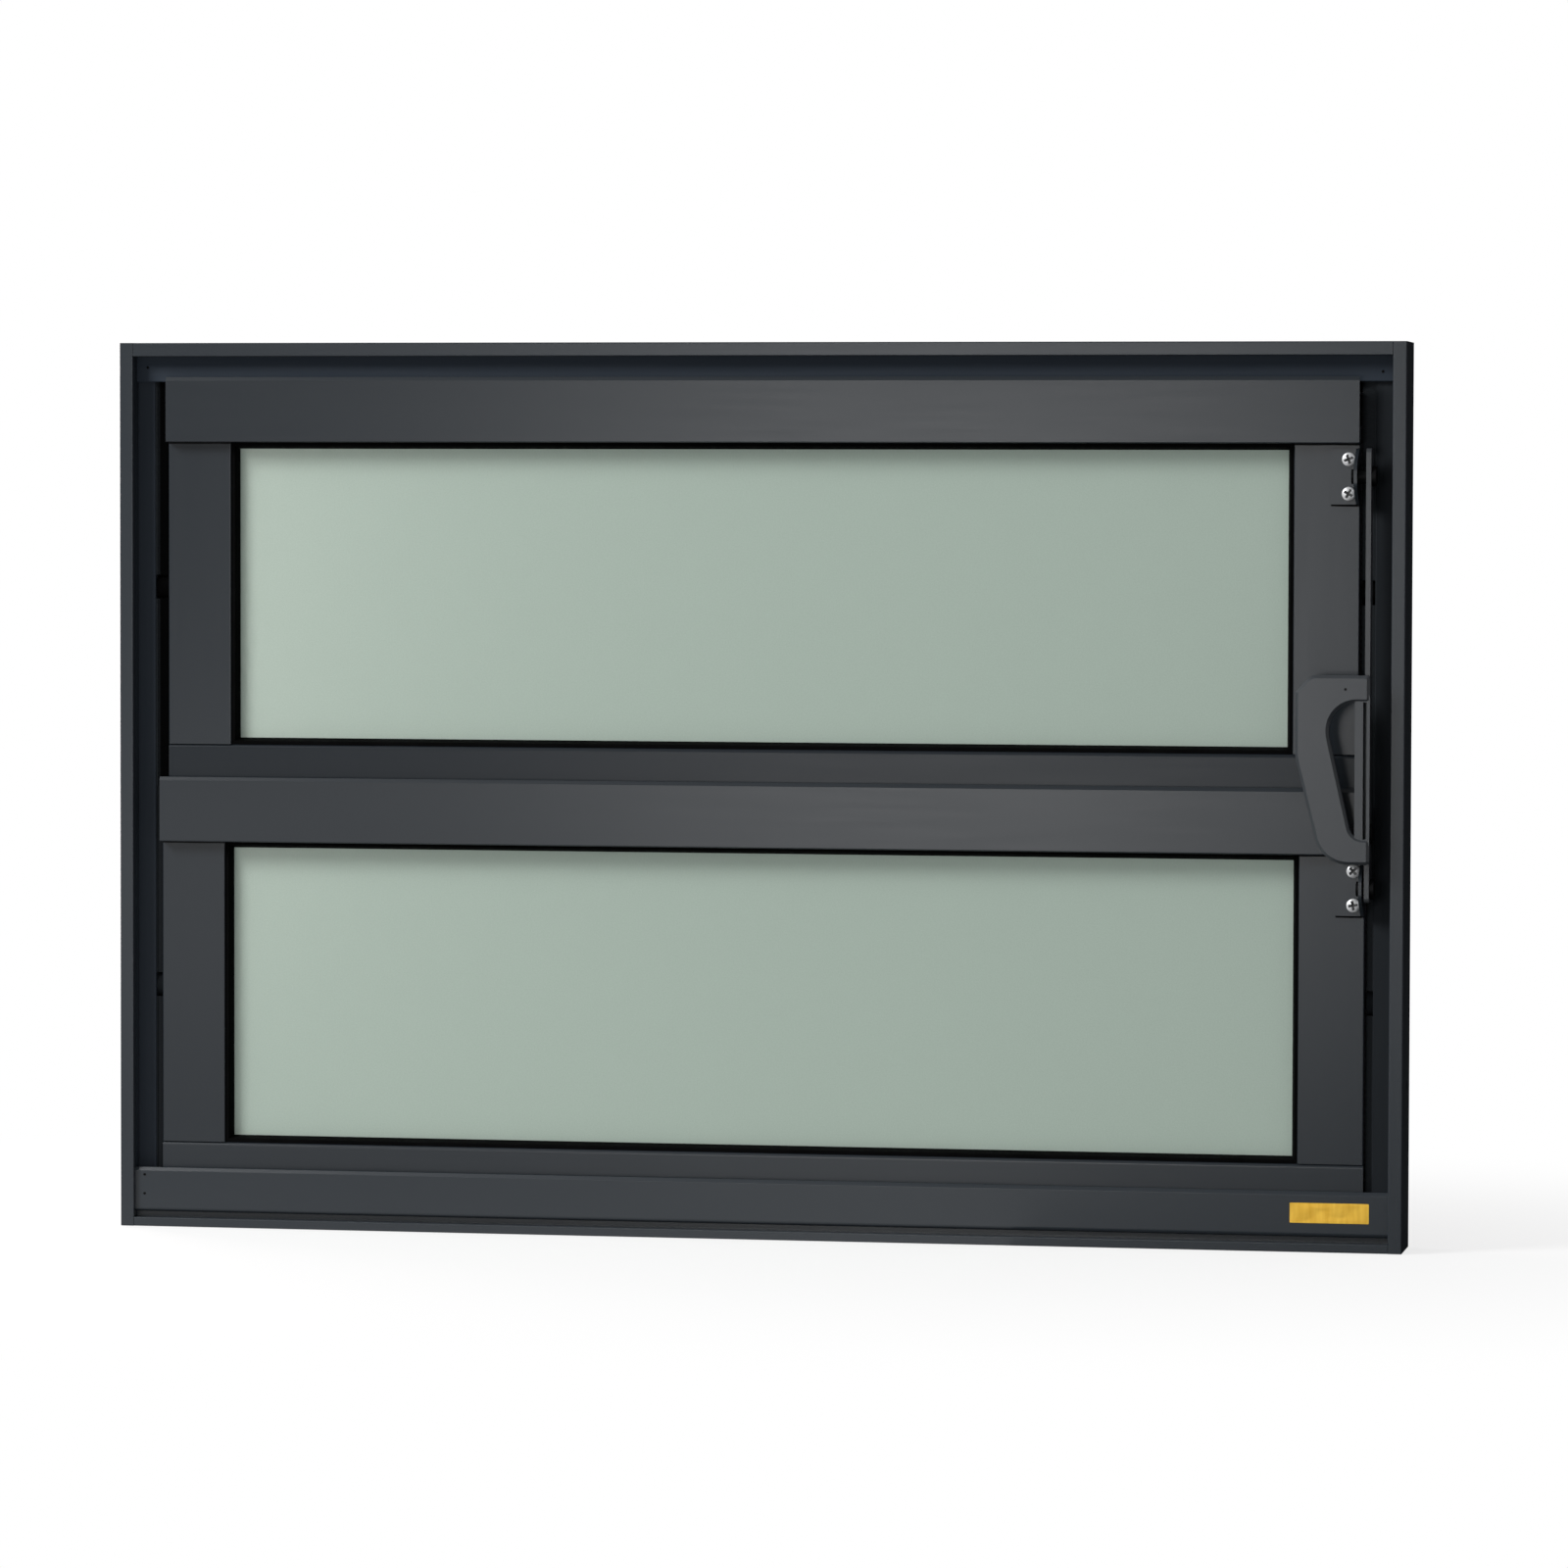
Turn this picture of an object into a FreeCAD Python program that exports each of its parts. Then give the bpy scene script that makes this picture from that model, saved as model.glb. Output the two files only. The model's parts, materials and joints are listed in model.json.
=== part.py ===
import FreeCAD, Part
import math
import os

os.makedirs("parts", exist_ok=True)

# Centre pivot window: two glazed sashes in one aluminium frame, tied by a link bar.
# X is to the right as seen from the room, Y goes outdoors, Z is up.
# The origin is the middle of the sill's flat underside.

# Overall frame
FRAME_W = 800.0
FRAME_H = 550.0
FRAME_D = 45.0
FRAME_WALL = 1.6
EDGE_R = 0.7

# Jamb: narrow front flange, then a recessed floor beside the sash
JAMB_FLANGE_W = 8.5
JAMB_FLOOR_W = 11.0
JAMB_STEP = 13.0

# Head: the same front flange, then a lower face behind the top rail's lip
HEAD_FLANGE_H = 8.4
HEAD_FACE_H = 15.6

# Sill: front flange, shadow groove, upstand that laps the lower sash, stepped seat with weep slots
SILL_FLANGE_H = 5.6
SILL_GROOVE_H = 3.4
SILL_GROOVE_D = 8.0
SILL_SEAT_H = 23.0
SILL_NOSE_H = 12.0
SILL_NOSE_FALL = 2.0
UPSTAND_H = 36.6
UPSTAND_FOOT_R = 2.5
WEEP_L = 24.0
WEEP_H = 4.0
WEEP_Z = 5.0
WEEP_SPREAD = 500.0

# Sash
SASH_D = 24.0
SASH_WALL = 1.5
STILE_W = 40.0
UPPER_INSET = 4.2
TOP_RAIL_H = 31.0
BOTTOM_RAIL_H = 23.3
BOTTOM_RAIL_EASE = 2.4
LIP_T = 2.0
LIP_H = 9.3
LIP_SET_BACK = 3.0
LIP_SLOPE_H = 2.2
LIP_SLOPE_D = 1.2
LIP_TIP_R = 0.3

# Glazing
GLASS_T = 4.0
GLASS_SET_BACK = 8.0
GLASS_BITE = 6.5
GROOVE_W = 10.0
GROOVE_DEPTH = 9.0
GASKET_SIGHT = 4.0
GASKET_TIP = 2.2
GASKET_PROUD = 7.0
GASKET_BACK = 5.0
GASKET_BITE = 8.5

# Pivots
PIVOT_R = 4.0
PIVOT_REACH = 6.0
BUSH_R = 6.0
BUSH_FLANGE_R = 8.0

# Link: angle bracket under the top rail, headed pin, flat bar
BRACKET_H = 33.6
BRACKET_LEG = 17.3
BRACKET_T = 2.0
BRACKET_INSET = 0.3
BRACKET_DROP = 3.2
SCREW_HOLE_R = 2.2
SCREW_PITCH = 20.8
SCREW_FROM_EAR = 6.3
EAR_NOSE_R = 7.0
PIN_OFF_FACE = 10.0
PIN_R = 2.5
PIN_HEAD_R = 6.0
PIN_HEAD_T = 2.4
PIN_TAIL_R = 4.5
PIN_TAIL_T = 1.8
BAR_T = 3.0
BAR_W = 12.0
BAR_TOP_END = 17.0
BAR_LOW_END = 8.0
BAR_CORNER_R = 2.5

# Pull handle: a flat D with a slotted spine and a foot on the lower sash's top rail
HANDLE_W = 44.9
HANDLE_H = 113.8
HANDLE_T = 5.0
HANDLE_OFF_BAR = 3.0
HANDLE_PAST_SASH = 4.7
HANDLE_DROP = 4.8
HANDLE_TOP_ARM = 16.0
HANDLE_LOW_ARM = 15.3
HANDLE_BAND = 20.2
HANDLE_EDGE = 1.8
HANDLE_TIP_R = 2.4
SHOULDER_W = 9.0
SHOULDER_H = 10.0
SHOULDER_R = 9.0
WAIST_FALL = 49.3
WAIST_TAPER = 16.1
WAIST_R = 24.0
HEEL_R = 21.0
GRIP_R = 17.0
GRIP_WAIST_FALL = 36.3
GRIP_TAPER = 14.2
GRIP_TOE_R = 9.0
SPINE_W = 9.0
SPINE_SET_BACK = 1.2
SPINE_SLOT_W = 2.1
SPINE_EDGE_W = 1.9
SPINE_ROOT = 4.0
FOOT_H = 15.0
FOOT_RAISE = 1.5

# Wall fixing holes through each jamb, with a wider hole inside for the screw's head
FIX_HOLE_R = 3.25
FIX_ACCESS_R = 6.0
FIX_HOLE_PITCH = 350.0

# Named clearances
SIDE_GAP = 5.0
END_GAP = 6.3
LAP_GAP = 5.0
BAR_SIDE_GAP = 1.0
BUSH_SIDE_GAP = 1.0
FOOT_GAP = 1.0
AXIAL_GAP = 0.3
RUNNING_FIT = 0.05
OVERCUT = 1.0

# Share of half its width that a round end's radius takes
ROUND_END = 0.98

# Stations in depth
FRONT = -FRAME_D / 2
REAR = FRAME_D / 2
FLOOR = FRONT + JAMB_STEP
LIP_FACE = FRONT + LIP_SET_BACK
LIP_BACK = LIP_FACE + LIP_T
SASH_FACE = LIP_BACK + LAP_GAP
SASH_BACK = SASH_FACE + SASH_D
TAIL_FACE = SASH_BACK + LAP_GAP
TAIL_BACK = TAIL_FACE + LIP_T
GLASS_FRONT = SASH_FACE + GLASS_SET_BACK
GLASS_REAR = GLASS_FRONT + GLASS_T
GROOVE_FRONT = (GLASS_FRONT + GLASS_REAR - GROOVE_W) / 2
GROOVE_REAR = GROOVE_FRONT + GROOVE_W
PIVOT_Y = SASH_FACE + SASH_D / 2
PIN_Y = SASH_FACE - PIN_OFF_FACE

# Stations in width
HALF_W = FRAME_W / 2
FLANGE_IN = HALF_W - JAMB_FLANGE_W
RETURN_X = FLANGE_IN - JAMB_FLOOR_W
LOWER_X = RETURN_X - SIDE_GAP
UPPER_X = LOWER_X - UPPER_INSET
BAR_IN = LOWER_X + BAR_SIDE_GAP
BAR_OUT = BAR_IN + BAR_T

# Stations in height
HEAD_LOW = FRAME_H - HEAD_FLANGE_H - HEAD_FACE_H
SASH_H = (HEAD_LOW - SILL_SEAT_H - 3 * END_GAP) / 2
LOWER_BASE = SILL_SEAT_H + END_GAP
UPPER_BASE = LOWER_BASE + SASH_H + END_GAP

# Each sash's lowest edge and half width
SASHES = {"lower": (LOWER_BASE, LOWER_X), "upper": (UPPER_BASE, UPPER_X)}


def vec(x, y, z):
    return FreeCAD.Vector(x, y, z)


def box(x0, x1, y0, y1, z0, z1):
    return Part.makeBox(x1 - x0, y1 - y0, z1 - z0, vec(x0, y0, z0))


def rod(radius, x0, x1, y, z):
    """Round rod along X."""
    return Part.makeCylinder(radius, x1 - x0, vec(x0, y, z), vec(1, 0, 0))


def mirrored(shape):
    """The same piece for the left-hand side."""
    return shape.mirror(vec(0, 0, 0), vec(1, 0, 0))


def outline(corners, place, radius=0.0):
    """Face through (u, v) or (u, v, radius) corners, where a corner with a radius is a tangent arc."""
    full = [c if len(c) == 3 else c + (radius,) for c in corners]
    starts = []
    mids = []
    ends = []
    for i, (u, v, r) in enumerate(full):
        here = place(u, v)
        to_last = (place(*full[i - 1][:2]) - here).normalize()
        to_next = (place(*full[(i + 1) % len(full)][:2]) - here).normalize()
        half = to_last.getAngle(to_next) / 2
        inward = (to_last + to_next).normalize()
        starts.append(here + to_last * (r / math.tan(half)))
        ends.append(here + to_next * (r / math.tan(half)))
        mids.append(here + inward * (r / math.sin(half) - r))
    edges = []
    for i, (u, v, r) in enumerate(full):
        if r > 0:
            edges.append(Part.Arc(starts[i], mids[i], ends[i]).toShape())
        edges.append(Part.makeLine(ends[i], starts[(i + 1) % len(full)]))
    return Part.Face(Part.Wire(edges))


def along_x(corners, x0, x1, radius=0.0):
    """Section of (y, z) corners carried along X."""
    return outline(corners, lambda y, z: vec(x0, y, z), radius).extrude(vec(x1 - x0, 0, 0))


def along_y(corners, y0, y1, radius=0.0):
    """Shape of (x, z) corners carried along Y."""
    return outline(corners, lambda x, z: vec(x, y0, z), radius).extrude(vec(0, y1 - y0, 0))


def along_z(corners, z0, z1, radius=0.0):
    """Section of (x, y) corners carried along Z."""
    return outline(corners, lambda x, y: vec(x, y, z0), radius).extrude(vec(0, 0, z1 - z0))


def save(name, shape):
    shape.exportStep("parts/" + name + ".step")


def pivot_z(base):
    return base + SASH_H / 2


def rail_low(base):
    return base + SASH_H - TOP_RAIL_H


def pin_z(base):
    return rail_low(base) - BRACKET_DROP - BRACKET_H / 2


def lip_tip(top):
    """Corners of a lip's top edge, from its back over the tip and down the sloped front."""
    ridge = LIP_FACE + LIP_SLOPE_D
    return [(LIP_BACK, top, LIP_TIP_R), (ridge, top, LIP_TIP_R), (LIP_FACE, top - LIP_SLOPE_H)]


# Frame
def jamb():
    """Right jamb: stepped hollow extrusion, drilled for the pivot bushes and the wall screws."""
    t = FRAME_WALL
    section = [(HALF_W, FRONT), (HALF_W, REAR), (RETURN_X, REAR),
               (RETURN_X, FLOOR), (FLANGE_IN, FLOOR, 0), (FLANGE_IN, FRONT)]
    hollow = [(HALF_W - t, FRONT + t), (HALF_W - t, REAR - t), (RETURN_X + t, REAR - t),
              (RETURN_X + t, FLOOR + t), (FLANGE_IN + t, FLOOR + t), (FLANGE_IN + t, FRONT + t)]
    solid = along_z(section, 0, FRAME_H, EDGE_R).cut(along_z(hollow, 0, FRAME_H))
    inner_wall = (RETURN_X - OVERCUT, RETURN_X + t + OVERCUT)
    for base, half in SASHES.values():
        solid = solid.cut(rod(BUSH_R + RUNNING_FIT, *inner_wall, PIVOT_Y, pivot_z(base)))
    for side in (-1, 1):
        z = FRAME_H / 2 + side * FIX_HOLE_PITCH / 2
        y = (FLOOR + REAR) / 2
        solid = solid.cut(rod(FIX_ACCESS_R, *inner_wall, y, z))
        solid = solid.cut(rod(FIX_HOLE_R, RETURN_X, HALF_W + OVERCUT, y, z))
    return solid


def cross_member(section, hollow):
    """Hollow extrusion between the jambs, its ends coped so that only the front laps the jamb's floor."""
    solid = along_x(section, -FLANGE_IN, FLANGE_IN, EDGE_R).cut(along_x(hollow, -FLANGE_IN, FLANGE_IN))
    for side in (-1, 1):
        x0, x1 = sorted((side * RETURN_X, side * HALF_W))
        solid = solid.cut(box(x0, x1, FLOOR, REAR + OVERCUT, -OVERCUT, FRAME_H + OVERCUT))
    return solid


def head():
    t = FRAME_WALL
    flange_low = FRAME_H - HEAD_FLANGE_H
    section = [(FRONT, FRAME_H), (REAR, FRAME_H), (REAR, HEAD_LOW),
               (SASH_FACE, HEAD_LOW), (SASH_FACE, flange_low, 0), (FRONT, flange_low)]
    hollow = [(FRONT + t, FRAME_H - t), (REAR - t, FRAME_H - t), (REAR - t, HEAD_LOW + t),
              (SASH_FACE + t, HEAD_LOW + t), (SASH_FACE + t, flange_low + t), (FRONT + t, flange_low + t)]
    return cross_member(section, hollow)


def weep_slot(x):
    """Round-ended drain through the sill's outdoor wall."""
    reach = WEEP_L / 2
    rise = WEEP_H / 2
    corners = [(x - reach, WEEP_Z - rise), (x + reach, WEEP_Z - rise),
               (x + reach, WEEP_Z + rise), (x - reach, WEEP_Z + rise)]
    return along_y(corners, REAR - FRAME_WALL - OVERCUT, REAR + OVERCUT, rise * ROUND_END)


def sill():
    t = FRAME_WALL
    groove_y = FRONT + SILL_GROOVE_D
    groove_top = SILL_FLANGE_H + SILL_GROOVE_H
    nose_top = SILL_NOSE_H + SILL_NOSE_FALL
    section = [(FRONT, 0), (REAR, 0), (REAR, SILL_NOSE_H), (SASH_BACK, nose_top, 0),
               (SASH_BACK, SILL_SEAT_H), (LIP_BACK, SILL_SEAT_H, 0), *lip_tip(UPSTAND_H),
               (LIP_FACE, groove_top, UPSTAND_FOOT_R), (groove_y, groove_top, 0),
               (groove_y, SILL_FLANGE_H, 0), (FRONT, SILL_FLANGE_H)]
    hollow = [(groove_y + t, t), (REAR - t, t), (REAR - t, SILL_NOSE_H - t),
              (SASH_BACK - t, nose_top - t), (SASH_BACK - t, SILL_SEAT_H - t),
              (LIP_FACE + t, SILL_SEAT_H - t), (LIP_FACE + t, groove_top + UPSTAND_FOOT_R),
              (groove_y + t, groove_top + UPSTAND_FOOT_R)]
    solid = cross_member(section, hollow)
    for side in (-1, 1):
        solid = solid.cut(weep_slot(side * WEEP_SPREAD / 2))
    return solid


def bush(base, half):
    """Right pivot bush: sleeve in the jamb's return wall, with a flange that reaches towards the sash."""
    z = pivot_z(base)
    inner = half + BUSH_SIDE_GAP
    outer = RETURN_X + PIVOT_REACH
    solid = rod(BUSH_FLANGE_R, inner, RETURN_X, PIVOT_Y, z).fuse(rod(BUSH_R, inner, outer, PIVOT_Y, z))
    bore = rod(PIVOT_R + RUNNING_FIT, inner - OVERCUT, outer + OVERCUT, PIVOT_Y, z)
    return solid.cut(bore).removeSplitter()


right_jamb = jamb()
save("right_jamb", right_jamb)
save("left_jamb", mirrored(right_jamb))
save("head", head())
save("sill", sill())
for name, (base, half) in SASHES.items():
    right_bush = bush(base, half)
    save(name + "_pivot_bushes", Part.makeCompound([right_bush, mirrored(right_bush)]))


# Sashes
def top_rail(base, half):
    """Top rail: proud of the stiles, glass groove below, and a lip that laps what is above it."""
    t = SASH_WALL
    low = rail_low(base)
    top = base + SASH_H
    deep = low + GROOVE_DEPTH
    section = [*reversed(lip_tip(top + LIP_H)), (LIP_BACK, top, 0), (SASH_BACK, top),
               (SASH_BACK, low), (GROOVE_REAR, low, 0), (GROOVE_REAR, deep, 0),
               (GROOVE_FRONT, deep, 0), (GROOVE_FRONT, low, 0), (LIP_FACE, low)]
    hollow = [(LIP_FACE + t, top - t), (SASH_BACK - t, top - t), (SASH_BACK - t, low + t),
              (GROOVE_REAR + t, low + t), (GROOVE_REAR + t, deep + t),
              (GROOVE_FRONT - t, deep + t), (GROOVE_FRONT - t, low + t), (LIP_FACE + t, low + t)]
    return along_x(section, -half, half, EDGE_R).cut(along_x(hollow, -half, half))


def bottom_rail(base, half):
    """Bottom rail: glass groove above, proud outdoors, with a drip lip that laps what is below it."""
    t = SASH_WALL
    top = base + BOTTOM_RAIL_H
    deep = top - GROOVE_DEPTH
    section = [(SASH_FACE, base), (TAIL_FACE, base, 0), (TAIL_FACE, base - LIP_H),
               (TAIL_BACK, base - LIP_H), (TAIL_BACK, top), (GROOVE_REAR, top, 0), (GROOVE_REAR, deep, 0),
               (GROOVE_FRONT, deep, 0), (GROOVE_FRONT, top, 0), (SASH_FACE, top, BOTTOM_RAIL_EASE)]
    hollow = [(SASH_FACE + t, base + t), (TAIL_BACK - t, base + t), (TAIL_BACK - t, top - t),
              (GROOVE_REAR + t, top - t), (GROOVE_REAR + t, deep - t),
              (GROOVE_FRONT - t, deep - t), (GROOVE_FRONT - t, top - t), (SASH_FACE + t, top - t)]
    return along_x(section, -half, half, EDGE_R).cut(along_x(hollow, -half, half))


def stile(base, half):
    """Right stile: hollow, grooved for the glass, drilled for the pivot pin."""
    t = SASH_WALL
    z0 = base + BOTTOM_RAIL_H
    z1 = rail_low(base)
    inner = half - STILE_W
    deep = inner + GROOVE_DEPTH
    section = [(inner, SASH_FACE), (half, SASH_FACE), (half, SASH_BACK), (inner, SASH_BACK),
               (inner, GROOVE_REAR, 0), (deep, GROOVE_REAR, 0),
               (deep, GROOVE_FRONT, 0), (inner, GROOVE_FRONT, 0)]
    hollow = [(inner + t, SASH_FACE + t), (half - t, SASH_FACE + t), (half - t, SASH_BACK - t),
              (inner + t, SASH_BACK - t), (inner + t, GROOVE_REAR + t), (deep + t, GROOVE_REAR + t),
              (deep + t, GROOVE_FRONT - t), (inner + t, GROOVE_FRONT - t)]
    solid = along_z(section, z0, z1, EDGE_R).cut(along_z(hollow, z0, z1))
    outer_wall = (half - t - OVERCUT, half + OVERCUT)
    return solid.cut(rod(PIVOT_R + RUNNING_FIT, *outer_wall, PIVOT_Y, pivot_z(base)))


def pane(base, half, grow):
    """Corners of the daylight opening between the sash members, grown by one margin all round."""
    x = half - STILE_W + grow
    z0 = base + BOTTOM_RAIL_H - grow
    z1 = rail_low(base) + grow
    return [(-x, z0), (x, z0), (x, z1), (-x, z1)]


def wedge(base, half, y0, grow0, y1, grow1):
    """Block over the daylight opening that changes its margin from y0 to y1."""
    ends = []
    for y, grow in ((y0, grow0), (y1, grow1)):
        ends.append(outline(pane(base, half, grow), lambda x, z: vec(x, y, z)).OuterWire)
    return Part.makeLoft(ends, True, True)


def glass(base, half):
    return along_y(pane(base, half, GLASS_BITE), GLASS_FRONT, GLASS_REAR)


def gasket(base, half):
    """Rubber channel round the glass with a tapered bead on each side."""
    front = GLASS_FRONT - GASKET_PROUD
    back = GLASS_REAR + GASKET_BACK
    bead = along_y(pane(base, half, 0), front, back)
    channel = along_y(pane(base, half, GASKET_BITE), GROOVE_FRONT, GROOVE_REAR)
    solid = bead.fuse(channel).removeSplitter()
    solid = solid.cut(wedge(base, half, front, -GASKET_TIP, GLASS_FRONT, -GASKET_SIGHT))
    solid = solid.cut(wedge(base, half, GLASS_REAR, -GASKET_SIGHT, back, -GASKET_TIP))
    return solid.cut(glass(base, half))


def pivot_pin(base, half):
    """Right pivot pin, from the stile's groove wall out into the bush."""
    inner = half - STILE_W + GROOVE_DEPTH + SASH_WALL
    return rod(PIVOT_R, inner, RETURN_X + PIVOT_REACH - AXIAL_GAP, PIVOT_Y, pivot_z(base))


def ear_out(half):
    """Outer side of a bracket's ear."""
    return half - BRACKET_INSET


def bracket(base, half):
    """Angle plate on the right stile: a screwed leg on the face and an ear for the link pin."""
    x = ear_out(half)
    z = pin_z(base)
    z0 = z - BRACKET_H / 2
    z1 = z + BRACKET_H / 2
    leg_face = SASH_FACE - BRACKET_T
    leg = box(x - BRACKET_LEG, x, leg_face, SASH_FACE, z0, z1)
    nose = PIN_Y - EAR_NOSE_R
    nose_r = EAR_NOSE_R * ROUND_END
    ear = [(leg_face, z0), (nose, z - EAR_NOSE_R, nose_r), (nose, z + EAR_NOSE_R, nose_r), (leg_face, z1)]
    solid = leg.fuse(along_x(ear, x - BRACKET_T, x)).removeSplitter()
    solid = solid.cut(rod(PIN_R + RUNNING_FIT, x - BRACKET_T - OVERCUT, x + OVERCUT, PIN_Y, z))
    for side in (-1, 1):
        seat = vec(x - SCREW_FROM_EAR, leg_face - OVERCUT, z + side * SCREW_PITCH / 2)
        solid = solid.cut(Part.makeCylinder(SCREW_HOLE_R, BRACKET_T + 2 * OVERCUT, seat, vec(0, 1, 0)))
    return solid


def link_pin(base, half):
    """Headed pin: tail behind the ear, shoulder up to the bar, flat round head outside it."""
    z = pin_z(base)
    ear = ear_out(half)
    tail_in = ear - BRACKET_T - PIN_TAIL_T
    head_in = BAR_OUT + AXIAL_GAP
    cap = rod(PIN_HEAD_R, head_in, head_in + PIN_HEAD_T, PIN_Y, z)
    shaft = rod(PIN_R, tail_in, head_in + RUNNING_FIT, PIN_Y, z)
    tail = rod(PIN_TAIL_R, tail_in, ear - BRACKET_T, PIN_Y, z)
    shoulder = rod(PIN_TAIL_R, ear, BAR_IN - AXIAL_GAP, PIN_Y, z)
    return cap.fuse([shaft, tail, shoulder]).removeSplitter()


for name, (base, half) in SASHES.items():
    right_stile = stile(base, half)
    right_pin = pivot_pin(base, half)
    save(name + "_top_rail", top_rail(base, half))
    save(name + "_bottom_rail", bottom_rail(base, half))
    save(name + "_right_stile", right_stile)
    save(name + "_left_stile", mirrored(right_stile))
    save(name + "_gasket", gasket(base, half))
    save(name + "_glass", glass(base, half))
    save(name + "_pivot_pins", Part.makeCompound([right_pin, mirrored(right_pin)]))
    save(name + "_bracket", bracket(base, half))
    save(name + "_link_pin", link_pin(base, half))


# Link bar
def link_bar():
    """Flat bar that ties both brackets, so that the sashes keep parallel."""
    z0 = pin_z(LOWER_BASE) - BAR_LOW_END
    z1 = pin_z(UPPER_BASE) + BAR_TOP_END
    y0 = PIN_Y - BAR_W / 2
    y1 = PIN_Y + BAR_W / 2
    solid = along_x([(y0, z0), (y1, z0), (y1, z1), (y0, z1)], BAR_IN, BAR_OUT, BAR_CORNER_R)
    for base, half in SASHES.values():
        solid = solid.cut(rod(PIN_R + RUNNING_FIT, BAR_IN - OVERCUT, BAR_OUT + OVERCUT, PIN_Y, pin_z(base)))
    return solid


save("link_bar", link_bar())


# Pull handle
def pull_handle():
    """D-shaped pull on the lower sash: flat bow, slotted spine, foot behind its low arm."""
    right = LOWER_X + HANDLE_PAST_SASH
    left = right - HANDLE_W
    low = rail_low(LOWER_BASE) - HANDLE_DROP
    top = low + HANDLE_H
    back = PIN_Y - BAR_W / 2 - HANDLE_OFF_BAR
    front = back - HANDLE_T
    grip_left = left + HANDLE_BAND
    grip_low = low + HANDLE_LOW_ARM
    grip_top = top - HANDLE_TOP_ARM
    bow = [(right, low), (left + WAIST_TAPER, low, HEEL_R), (left, top - WAIST_FALL, WAIST_R),
           (left, top - SHOULDER_H), (left + SHOULDER_W, top, SHOULDER_R), (right, top), (right, grip_top),
           (grip_left, grip_top, GRIP_R), (grip_left, top - GRIP_WAIST_FALL, WAIST_R),
           (grip_left + GRIP_TAPER, grip_low, GRIP_TOE_R), (right, grip_low)]
    plate = along_y(bow, front, back, HANDLE_TIP_R)
    rim = [e for e in plate.Edges if e.BoundBox.YMax < front + RUNNING_FIT]
    plate = plate.makeChamfer(HANDLE_EDGE, rim)
    spine_low = grip_low - SPINE_ROOT
    spine_top = grip_top + SPINE_ROOT
    spine = box(right - SPINE_W, right, front + SPINE_SET_BACK, back, spine_low, spine_top)
    slot_right = right - SPINE_EDGE_W
    slot = box(slot_right - SPINE_SLOT_W, slot_right, front, back, grip_low, grip_top)
    foot_low = rail_low(LOWER_BASE) + FOOT_RAISE
    foot_right = ear_out(LOWER_X) - BRACKET_T - PIN_TAIL_T - FOOT_GAP
    foot = box(left, foot_right, back, LIP_FACE, foot_low, foot_low + FOOT_H)
    foot = foot.common(along_y(bow, back, LIP_FACE, HANDLE_TIP_R))
    return plate.fuse([spine.cut(slot), foot]).removeSplitter()


save("pull_handle", pull_handle())
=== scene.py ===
import json
import math

import bpy
import numpy as np
from mathutils import Matrix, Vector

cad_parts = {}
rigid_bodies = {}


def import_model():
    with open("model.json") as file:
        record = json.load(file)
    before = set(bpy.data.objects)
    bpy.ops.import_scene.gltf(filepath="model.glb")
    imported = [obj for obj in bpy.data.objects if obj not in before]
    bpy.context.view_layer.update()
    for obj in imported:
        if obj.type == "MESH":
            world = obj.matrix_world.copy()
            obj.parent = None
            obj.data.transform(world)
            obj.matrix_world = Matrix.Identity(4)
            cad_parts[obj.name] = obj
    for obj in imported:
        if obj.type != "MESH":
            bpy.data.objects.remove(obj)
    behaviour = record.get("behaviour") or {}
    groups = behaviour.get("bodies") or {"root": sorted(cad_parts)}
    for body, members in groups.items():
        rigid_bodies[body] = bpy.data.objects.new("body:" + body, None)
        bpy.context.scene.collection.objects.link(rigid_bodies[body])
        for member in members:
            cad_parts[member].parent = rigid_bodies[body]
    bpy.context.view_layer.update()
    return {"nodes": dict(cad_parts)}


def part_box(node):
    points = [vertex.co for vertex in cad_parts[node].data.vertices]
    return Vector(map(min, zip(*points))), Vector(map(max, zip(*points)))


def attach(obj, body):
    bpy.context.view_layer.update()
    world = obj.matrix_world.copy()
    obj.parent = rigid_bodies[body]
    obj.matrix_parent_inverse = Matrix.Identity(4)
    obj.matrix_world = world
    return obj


for leftover in list(bpy.data.objects):
    bpy.data.objects.remove(leftover)
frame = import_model()
MM = 0.001


# Jambs: two stepped hollow aluminium extrusions, the frame's upright sides.
# They are powder coated charcoal after cutting, so a fine orange peel lies over faint die lines.
# Painted shade darkens their recesses and tints them blue, the right one's most; the recesses are rougher
# too.
def wire(mat, kind, inputs, **settings):
    """One shader node: settings are its own properties, inputs are numbers or the sockets that feed it."""
    made = mat.node_tree.nodes.new("ShaderNode" + kind)
    for key, value in settings.items():
        setattr(made, key, value)
    for key, value in inputs.items():
        if isinstance(value, bpy.types.NodeSocket):
            mat.node_tree.links.new(value, made.inputs[key])
        else:
            made.inputs[key].default_value = value
    return made


def cloud(mat, place, cells, detail=2.0, stretch=(1, 1, 1)):
    """Noise of so many cells to the metre, drawn out along an axis by a small stretch."""
    turned = wire(mat, "Mapping", {"Vector": place, "Scale": stretch})
    noise = wire(mat, "TexNoise", {"Vector": turned.outputs["Vector"], "Scale": cells, "Detail": detail})
    return noise.outputs["Fac"]


def tint(mat, shader, fac, low, high, painted_shade):
    """Base colour that runs from low to high as the pattern goes through its span, times the painted shade.
    """
    ramp = wire(mat, "ValToRGB", {"Fac": fac})
    for stop, position, colour in zip(ramp.color_ramp.elements, PATTERN_SPAN, (low, high)):
        stop.position = position
        stop.color = (*colour, 1)
    colour = ramp.outputs["Color"]
    if painted_shade:
        colour = wire(mat, "VectorMath", {0: colour, 1: painted_shade}, operation="MULTIPLY").outputs["Vector"]
    mat.node_tree.links.new(colour, shader.inputs["Base Color"])


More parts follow.
